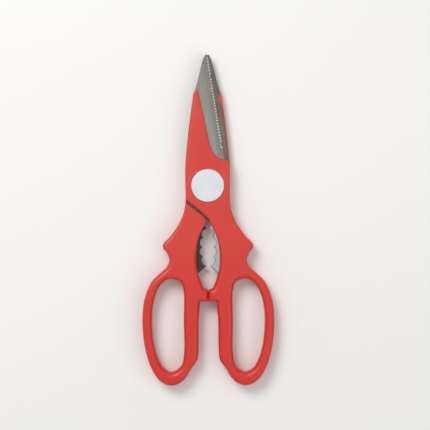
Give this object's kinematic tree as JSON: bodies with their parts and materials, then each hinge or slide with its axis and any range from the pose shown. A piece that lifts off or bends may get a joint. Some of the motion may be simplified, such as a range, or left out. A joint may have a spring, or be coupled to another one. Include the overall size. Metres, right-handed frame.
{
  "type": "kitchen scissors",
  "caption": "Kitchen scissors with straight steel blades, toothed jaws between the handles and closed finger loops, opening on one capped pivot.",
  "frame": {"origin": "on the pivot axis, level with the flat outer face of the rear pivot cap, on which the scissors lie", "axes": "+Y along the closed blades towards their tips, +Z along the pivot axis from the rear cap to the front cap, +X towards the front half's finger loop"},
  "size_m": [0.0836, 0.21, 0.012],
  "materials": {
    "blade_steel": "ground and satin brushed",
    "handle_plastic": "smooth glossy moulding",
    "cap_plastic": "smooth glossy moulding",
    "hardware_steel": "bright plated"
  },
  "bodies": {
    "rear_half": {"rear_blade": "blade_steel", "rear_handle": "handle_plastic", "rear_pivot_cap": "cap_plastic", "pivot_bolt": "hardware_steel", "pivot_nut": "hardware_steel", "flat_washer": "hardware_steel"},
    "front_half": {"front_blade": "blade_steel", "front_handle": "handle_plastic", "front_pivot_cap": "cap_plastic", "spring_washer": "hardware_steel"}
  },
  "joints": [
    {"name": "pivot", "type": "hinge", "parent": "rear_half", "child": "front_half", "pos_m": [0, 0, 0.006], "axis": [0, 0, 1], "range_deg": [0, 70]}
  ]
}
